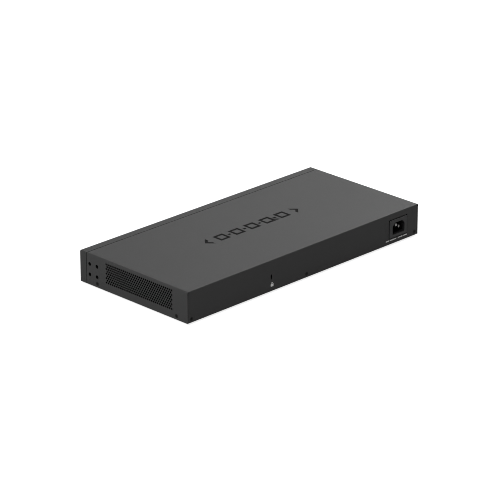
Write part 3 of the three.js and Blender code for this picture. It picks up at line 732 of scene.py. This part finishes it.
def top_cover():
    """The cover: a flat blank with all its holes, folded down at its sides and rear."""
    flat = plate([blank_outline()] + blank_holes() + mark_loops(), SHEET, RIM)
    islands = [plate([loop], SHEET, RIM) for loop in mark_islands()]
    flat = joined([flat] + islands)
    bm = bmesh.new()
    bm.from_mesh(flat)
    bpy.data.meshes.remove(flat)
    side, rear = bend_lines()
    score(bm, side + [-x for x in side], Vector((1, 0, 0)))
    score(bm, rear, Vector((0, 1, 0)))
    bmesh.ops.recalc_face_normals(bm, faces=bm.faces)
    for face in bm.faces:
        # Painted shade: the underside and the vent and ear hole walls take the second, near-black finish.
        face.material_index = int(face.normal.z < -0.5 or wall_of_vent(face))
    for vert in bm.verts:
        vert.co = folded(vert.co)
    piece("case_cover", smooth(mesh_of(bm), 25), ["case_paint", "inner_paint"], ["top_cover"])


def shrunk(loop, by):
    """A loop moved in a little towards its middle."""
    middle = Vector((sum(x for x, _ in loop), sum(y for _, y in loop))) / len(loop)
    return [tuple(Vector(p) + (middle - Vector(p)).normalized() * by) for p in loop]


def cover_mark():
    """The floor of the pressed mark, a little below the top."""
    made = []
    for loop in mark_loops():
        x = sum(p[0] for p in loop) / len(loop)
        islands = [i for i in mark_islands() if abs(sum(p[0] for p in i) / 4 - x) < 1]
        made.append(plate([shrunk(loop, 0.02)] + islands, SHEET - MARK["depth"], 0.02))
    mesh = joined(made)
    mesh.transform(Matrix.Translation((0, 0, TOP - MARK["depth"])))
    piece("cover_mark", mesh, "mark_paint")


def ear_nuts():
    """The threaded bosses behind the rack ear holes."""
    bore, radius, depth, chamfer = (EAR_NUT[key] for key in ("bore", "radius", "depth", "chamfer"))
    profile = [(bore + chamfer, 0), (radius - 0.2, 0), (radius, -0.2), (radius, -depth), (bore, -depth)]
    made = []
    for side, turn in (("left", -1), ("right", 1)):
        for y in EAR_Y:
            for z in EAR_Z:
                ring = turned(profile + [(bore, -chamfer), (bore + chamfer, 0)], 28)
                made.append(faced(ring, side, (turn * (RIGHT - SHEET), y, z)))
    # Painted shade: the nuts are near black so that the ear holes read dark.
    piece("ear_nuts", smooth(joined(made), 40), "inner_paint")


# --- Screws and feet --------------------------------------------------------------------------


def sunk_screw():
    """A countersunk head, flush with its face, with a cross recess."""
    radius = SCREW_HEAD
    head = [(0, -5.0), (1.3, -5.0), (1.5, -4.8), (1.5, -1.4), (radius - 0.1, -0.12), (radius, 0.0)]
    head += [(radius - 0.12, 0.06), (0, 0.10)]
    arm, reach = CROSS["arm"], CROSS["reach"]
    cross = [(arm, reach), (-arm, reach), (-arm, arm), (-reach, arm), (-reach, -arm), (-arm, -arm)]
    cross += [(-arm, -reach), (arm, -reach), (arm, -arm), (reach, -arm), (reach, arm), (arm, arm)]
    slot = prism(cross, -CROSS["depth"], 0.5)
    for vert in slot.vertices:
        if vert.co.z < 0:
            vert.co.xy = vert.co.xy * CROSS["taper"]
    return carved(turned(head, 36), [slot])


def cover_screws():
    """The screws that hold the cover, each in its hole."""
    for node, side, at in screw_places():
        mesh = faced(sunk_screw(), side, at)
        piece(node.replace("cover_screw", "sunk_screw"), smooth(mesh, 40), "screw_black", [node])


def feet():
    """Moulded rubber feet with a ring and a dimple underneath."""
    for node in [n for n in frame["nodes"] if n.startswith("foot_")]:
        wide, at = size(node), centre(node)
        radius, high = wide.x / 2, wide.z
        base = [(0, 0), (radius * 0.35, 0), (radius * 0.42, 0.25), (radius - 1.4, 0.25), (radius - 1.2, 0)]
        base += [(radius - 0.75, 0), (radius - 0.3, 0.15), (radius - 0.05, 0.5)]
        wall = [(radius, 0.8), (radius, high - 0.35), (radius - 0.1, high - 0.08)]
        wall += [(radius - 0.3, high), (0, high)]
        mesh = turned(base + wall, 48)
        mesh.transform(Matrix.Translation((at.x, at.y, 0)))
        piece(node.replace("foot", "rubber_foot"), smooth(mesh, 35), "foot_rubber", [node])


# --- Front fascia ------------------------------------------------------------------------------


def arch(inset, radius, low):
    """The arch of the case in (x, z) from a height up, moved in by an inset."""
    x, z = RIGHT - inset, TOP - inset
    loop = [(-x, low), (x, low)]
    for i in range(9):
        turn = math.pi / 2 * i / 8
        loop.append((x - radius + radius * math.cos(turn), z - radius + radius * math.sin(turn)))
    return loop + [(-a, b) for a, b in reversed(loop[2:])]


def front_prism(loop, y0, y1):
    """A body over a loop in (x, z) between two places along y."""
    mesh = prism(loop, -y1, -y0)
    return faced(mesh, "front", (0, 0, 0))


def window(node, y0, y1):
    """A cutter for the opening round a CAD node."""
    low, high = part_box(node)
    gap = WINDOW_GAP
    loop = rectangle(low.x / MM - gap, high.x / MM + gap, low.z / MM - gap, high.z / MM + gap)
    return front_prism(rounded(loop, 0.6), y0, y1)


def hole(node, radius, y0, y1):
    """A round cutter on the middle of a CAD node."""
    at = centre(node)
    return front_prism(circle(at.x, at.z, radius, 28), y0, y1)


def front_fascia():
    """The shell round the front end, with a lap that slides in under the cover."""
    wall = FASCIA_WALL
    back = COVER_FRONT - SEAM
    bm = bmesh.new()
    shell = front_prism(arch(0, SIDE_BEND, BOTTOM), FRONT, back)
    bm.from_mesh(shell)
    bpy.data.meshes.remove(shell)
    for end, offset in ((FRONT, FASCIA_FRONT_EDGE), (back, FASCIA_BACK_EDGE)):
        rim = [e for e in bm.edges if all(abs(v.co.y - end) < 0.01 and v.co.z > BOTTOM for v in e.verts)]
        rim += [e for e in bm.edges if end == FRONT and all(abs(v.co.y - end) < 0.01 for v in e.verts)]
        rim = list(dict.fromkeys(rim))
        bmesh.ops.bevel(bm, geom=rim, offset=offset, segments=4, profile=0.5, affect="EDGES")
    shell = mesh_of(bm)
    y0, y1 = FRONT - 3, FRONT + wall + 1
    inside = arch(wall, FASCIA_INNER_CORNER, BOTTOM - 3)
    tools = [front_prism(inside, FRONT + wall, back + 5)]
    cuts = [window(n, y0, y1) for n in ("jack_shield_left", "jack_shield_right", "fibre_cage")]
    cuts += [hole(n, BUTTON_HOLE, y0, y1) for n in ("reset_button", "defaults_button")]
    cuts.append(hole("power_light_pipe", LIGHT_HOLE, y0, y1))
    mesh = carved(carved(shell, tools), cuts)
    lap_low, lap_high = back - 1, FASCIA_HIGH.y / MM
    lap = carved(
        front_prism(arch(LAP_INSET, 0.6, BOTTOM + 0.2), lap_low, lap_high),
        [front_prism(inside, lap_low - 1, lap_high + 1)],
    )
    mesh = smooth(eased(carved(mesh, [lap], "UNION"), FASCIA_EDGE, 2, 40), 30)
    # Painted shade: the lap and the rear end face in the seam take the near-black second finish.
    mesh = shaded(mesh, lambda middle, normal: middle.y > back - FASCIA_SHADE)
    piece("fascia_shell", mesh, ["fascia_paint", "inner_paint"], ["front_fascia"])


def printed(text, x, z):
    """Plain figures as a thin layer of ink on the front."""
    curve = bpy.data.curves.new("figures", "FONT")
    curve.body = text
    curve.size = FIGURE_SIZE
    curve.align_x = "CENTER"
    curve.align_y = "CENTER"
    curve.extrude = 0.01
    mesh = finished(linked("figures", curve))
    mesh.transform(Matrix.Translation((x, z, 0.01)))
    return faced(mesh, "front", (0, FRONT, 0))


# --- Ports ------------------------------------------------------------------------------------

PORT_PITCH = 13.97
PORT_COLUMNS = 6
PORT_EDGE = 1.4
PORT_BODY = 6.9
PORT_TALL = 10.4
PORT_LIGHT = {"offset": 4.62, "half": 1.15, "start": 0.35, "end": 2.5, "edge": 0.12}
CONTACTS = 8
CONTACT_PITCH = 1.02


def port_places(node):
    """The ports of one block: middle x, the height of the flat side and +1 or -1 for latch up or down."""
    low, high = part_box(node)
    middle = (low.x + high.x) / 2 / MM
    bottom, top = low.z / MM, high.z / MM
    for column in range(PORT_COLUMNS):
        x = middle + (column - (PORT_COLUMNS - 1) / 2) * PORT_PITCH
        yield x, bottom + PORT_EDGE + PORT_TALL, -1
        yield x, top - PORT_EDGE - PORT_TALL + 0.1, 1


def contact_wire(x, flat, up, y):
    """One spring wire: in from the flat side, then sloping back and away from it."""
    half, thin = 0.22, 0.12
    path = [(y + 1.6, 0.12), (y + 2.4, 1.1), (y + 3.6, 1.75), (y + 9.0, 3.2), (y + 14.0, 4.1)]
    bm = bmesh.new()
    rings = []
    for along, rise in path:
        z = flat + up * rise
        corners = rectangle(-half, half, -thin, thin)
        rings.append([bm.verts.new((x + dx, along, z + dz)) for dx, dz in corners])
    for a, b in zip(rings, rings[1:]):
        for i in range(4):
            bm.faces.new([a[i], a[(i + 1) % 4], b[(i + 1) % 4], b[i]])
    bm.faces.new(rings[0])
    bm.faces.new(rings[-1])
    return mesh_of(bm)


def port_details():
    """The spring wires in each port, and the two small lights beside its latch."""
    for side in ("left", "right"):
        light = PORT_LIGHT
        housing, shield = f"jack_housing_{side}", f"jack_shield_{side}"
        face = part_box(shield)[0].y / MM
        wires, green, amber = [], [], []
        for x, flat, up in port_places(housing):
            for i in range(CONTACTS):
                wires.append(contact_wire(x + (i - (CONTACTS - 1) / 2) * CONTACT_PITCH, flat, up, face + 0.5))
            for hand, lights in ((-1, green), (1, amber)):
                x0, x1 = (x + hand * light["offset"] + way * light["half"] for way in (-1, 1))
                z0, z1 = sorted(flat + up * (PORT_BODY + light[key]) for key in ("start", "end"))
                lights.append(block(x0, x1, face - 0.12, face + 1.0, z0, z1, light["edge"]))
        piece(f"port_contacts_{side}", joined(wires), "contact_gold")
        piece(f"port_lights_green_{side}", joined(green), "light_green")
        piece(f"port_lights_amber_{side}", joined(amber), "light_amber")


def port_numbers():
    """Plain port numbers over and under each column, odd ones above."""
    number = 1
    made = []
    for side in ("left", "right"):
        low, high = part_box(f"jack_shield_{side}")
        for x, _, up in port_places(f"jack_housing_{side}"):
            if up > 0:
                made.append(printed(str(number), x, high.z / MM + FIGURE_ABOVE))
                number += 2
            else:
                made.append(printed(str(number + 1), x, low.z / MM - FIGURE_BELOW))
    low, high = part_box("fibre_cage")
    for i, label in enumerate(("25", "26")):
        x = (low.x * (1.5 - i) + high.x * (0.5 + i)) / 2 / MM
        made.append(printed(label, x, high.z / MM + FIGURE_ABOVE))
    piece("port_numbers", joined(made), "white_ink")


def light_dome():
    """The front end of the light pipe, domed."""
    at = centre("power_light_pipe")
    mesh = turned([(0, -3.0), (1.4, -3.0), (1.4, -0.3), (1.1, 0.05), (0.6, 0.22), (0, 0.28)], 32)
    mesh = faced(smooth(mesh), "front", (at.x, FRONT + 0.1, at.z))
    piece("power_light", mesh, "light_green")


# --- Rear details -----------------------------------------------------------------------------


def in_mouth(at, face):
    """True inside the mouth, which takes darker plastic as painted shade."""
    return abs(at.x) < MOUTH["half_x"] + 0.7 and abs(at.z) < MOUTH["half_z"] + 0.65 and at.y < face - 0.04


def power_inlet():
    """The inlet body, and its mouth with two cut corners and a slightly wider entry."""
    low, high = (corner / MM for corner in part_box("power_inlet"))
    middle = Vector(((low.x + high.x) / 2, 0, (low.z + high.z) / 2))
    half_x, half_z, chamfer, deep = MOUTH["half_x"], MOUTH["half_z"], MOUTH["chamfer"], MOUTH["depth"]
    mouth = [(-half_x, -half_z), (half_x, -half_z), (half_x, half_z - chamfer), (half_x - chamfer, half_z)]
    mouth += [(chamfer - half_x, half_z), (-half_x, half_z - chamfer)]
    x0, x1, z0, z1 = low.x - middle.x, high.x - middle.x, low.z - middle.z, high.z - middle.z
    body = block(x0, x1, z0, z1, low.y - high.y, 0, 0.7, 3)
    grow_x, grow_z = MOUTH["flare"]
    flare = prism(rounded([(x * grow_x, z * grow_z) for x, z in mouth], 1.3), -0.5, 0.6)
    mesh = carved(body, [prism(rounded(mouth, 0.9), -deep, 0.6)])
    mesh = carved(mesh, [flare])
    slots = []
    for node in BLADES:
        x = middle.x - centre(node).x
        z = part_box(node)[1].z / MM - middle.z
        half, under = BLADE["width"] / 2 + 0.1, BLADE["height"] + 0.1
        slots.append(block(x - half, x + half, z - under, z + 0.1, low.y - high.y - 1, -deep + 1))
    mesh = carved(mesh, slots)
    mesh = faced(smooth(eased(mesh, 0.12, 2, 45), 35), "rear", (middle.x, high.y, middle.z))
    # Painted shade: the inside of the mouth takes the darker port plastic.
    mesh = shaded(mesh, lambda at, normal: in_mouth(at - middle, high.y))
    piece("inlet_body", mesh, ["inlet_plastic", "port_plastic"], ["power_inlet"])


def inlet_blades():
    """The three blades, with rounded edges, each with the leg that goes down to the board."""
    leg_half = BLADE["leg"] / 2
    for node in BLADES:
        low, high = (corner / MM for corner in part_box(node))
        x0, x1 = high.x - BLADE["width"], high.x
        z0, z1 = high.z - BLADE["height"], high.z
        x = (x0 + x1) / 2
        bar = block(x0, x1, low.y, high.y, z0, z1, 0.45, 3)
        leg = block(x - leg_half, x + leg_half, low.y, low.y + BLADE["leg"], low.z, z0 + 2, 0.1)
        piece(node.replace("blade", "pin"), smooth(joined([bar, leg]), 35), "blade_metal", [node])


def half_round(radius, height):
    """Points of a half circle over a height, from right to left."""
    turns = [math.pi * i / 12 for i in range(13)]
    return [(radius * math.cos(turn), height + radius * math.sin(turn)) for turn in turns]


def lock_symbol():
    """A white padlock under the lock slot."""
    body = plate([rounded(rectangle(-2.5, 2.5, -3.0, 0.7), 0.5)], INK, INK_RIM)
    outer, inner = half_round(1.75, 1.2), half_round(1.05, 1.2)[::-1]
    left = [(-1.75, 0.5), (-1.05, 0.5)]
    shackle = plate([[(1.75, 0.5)] + outer + left + inner + [(1.05, 0.5)]], INK, INK_RIM)
    mesh = faced(joined([body, shackle]), "rear", (PADLOCK["x"], REAR + INK, PADLOCK["z"]))
    piece("lock_symbol", mesh, "white_ink")


def rating_bars():
    """Plain bars where the rating line is."""
    bars = [plate([rounded(rectangle(*ends, -0.8, 0.8), 0.3)], INK, INK_RIM) for ends in RATING_BARS]
    mesh = faced(joined(bars), "rear", (0, REAR + INK, RATING_Z))
    piece("rating_bars", mesh, "white_ink")


# --- Stage ------------------------------------------------------------------------------------

AZIMUTH = 45.127
ELEVATION = 22.021
DISTANCE = 4083.4
FOCAL_SHARE = 3032.176 / 500
SENSOR = 36.0
IMAGE_X = 2.279 / 500
IMAGE_Y = 8.507 / 500

# Soft boxes: name, place, width, watts and height where it isn't square; metres.
LIGHTS = (
    ("low", (-1.8, -0.2, 0.7), 1.2, 17.1, 0.7),
    ("low_front", (-1.3, -1.1, 0.7), 1.2, 3.5, 0.7),
    ("high", (1.6, 0.3, 1.6), 1.0, 41.7, None),
    ("side", (2.5, 0.0, 0.9), 1.4, 4.7, None),
    ("top", (-0.7, 0.0, 1.2), 1.0, 8.1, None),
)
FILL = (0.1, 0.1, 0.1, 1)
WHITE = (1, 1, 1, 1)
FLOOR_REACH = 30.0

# The floor as the camera sees it: its brightness near the object and far away, and where it changes.
PAPER = {"near": 0.8, "far": 1.0, "start": 0.45, "end": 1.3, "color": (0.42, 0.42, 0.42, 1)}


def camera():
    """Looks at the rear and the +X side from above, with the case a little high in the frame."""
    az, el = math.radians(AZIMUTH), math.radians(ELEVATION)
    back = Vector((math.sin(az) * math.cos(el), math.cos(az) * math.cos(el), math.sin(el)))
    right = Vector((-math.cos(az), math.sin(az), 0))
    up = back.cross(right)
    target = Vector((0, MIDDLE_Y, (TOP + BOTTOM) / 2))
    width = DISTANCE / FOCAL_SHARE
    aim = target - right * IMAGE_X * width - up * IMAGE_Y * width
    data = bpy.data.cameras.new("camera")
    data.sensor_width = SENSOR
    data.lens = SENSOR * FOCAL_SHARE
    made = linked("camera", data)
    made.location = (target + back * DISTANCE) * MM
    look = aim * MM - made.location
    made.rotation_mode = "QUATERNION"
    made.rotation_quaternion = look.to_track_quat("-Z", "Y")
    data.clip_start = 0.1
    data.clip_end = 100
    bpy.context.scene.camera = made


def area_light(name, at, size_m, watts, tall):
    """A soft box aimed at the object that the camera does not see itself."""
    data = bpy.data.lights.new(name, "AREA")
    data.shape = "RECTANGLE" if tall else "SQUARE"
    data.size = size_m
    if tall:
        data.size_y = tall
    data.energy = watts
    made = linked(name, data)
    made.location = at
    made.rotation_mode = "QUATERNION"
    made.rotation_quaternion = (Vector((0, 0, 0.02)) - Vector(at)).to_track_quat("-Z", "Y")
    made.visible_camera = False


def floor():
    """Pale paper that reads white to the camera, and can be looked through from below."""
    mesh = bpy.data.meshes.new("floor")
    corners = [(x, y, 0) for x, y in rectangle(-FLOOR_REACH, FLOOR_REACH, -FLOOR_REACH, FLOOR_REACH)]
    mesh.from_pydata(corners, [], [(0, 1, 2, 3)])
    n = Nodes("floor")
    path = n.add("ShaderNodeLightPath").outputs["Is Camera Ray"]
    away = n.add("ShaderNodeVectorMath", {0: n.place()}, operation="LENGTH").outputs["Value"]
    paper = n.span(away, PAPER["near"], PAPER["far"], PAPER["start"], PAPER["end"])
    seen = n.add("ShaderNodeMath", {0: path, 1: paper}, operation="MULTIPLY").outputs["Value"]
    n.set(Base_Color=PAPER["color"], Roughness=0.9, Specular_IOR_Level=0.0)
    n.set(Emission_Color=WHITE, Emission_Strength=seen)
    below = n.add("ShaderNodeNewGeometry").outputs["Backfacing"]
    sides = n.add("ShaderNodeMixShader", {0: below, 1: n.shader.outputs["BSDF"]})
    n.put(sides.inputs[2], n.add("ShaderNodeBsdfTransparent").outputs["BSDF"])
    n.put(n.tree.nodes["Material Output"].inputs["Surface"], sides.outputs["Shader"])
    mesh.materials.append(n.material)
    linked("floor", mesh)


def studio():
    """Weak even fill that the camera sees as white, and the soft boxes."""
    world = bpy.data.worlds.new("studio")
    bpy.context.scene.world = world
    world.use_nodes = True
    tree = world.node_tree
    background = tree.nodes["Background"]
    path = tree.nodes.new("ShaderNodeLightPath")
    mix = tree.nodes.new("ShaderNodeMix")
    mix.data_type = "RGBA"
    tree.links.new(path.outputs["Is Camera Ray"], mix.inputs["Factor"])
    mix.inputs["A"].default_value = FILL
    mix.inputs["B"].default_value = WHITE
    tree.links.new(mix.outputs["Result"], background.inputs["Color"])
    for light in LIGHTS:
        area_light(*light)
    scene = bpy.context.scene
    scene.view_settings.view_transform = "Standard"
    scene.view_settings.look = "None"
    scene.cycles.filter_width = 1.0


# --- Build ------------------------------------------------------------------------------------

paint_cad_nodes()
top_cover()
cover_mark()
ear_nuts()
front_fascia()
cover_screws()
feet()
port_details()
port_numbers()
light_dome()
power_inlet()
inlet_blades()
lock_symbol()
rating_bars()
floor()
studio()
camera()
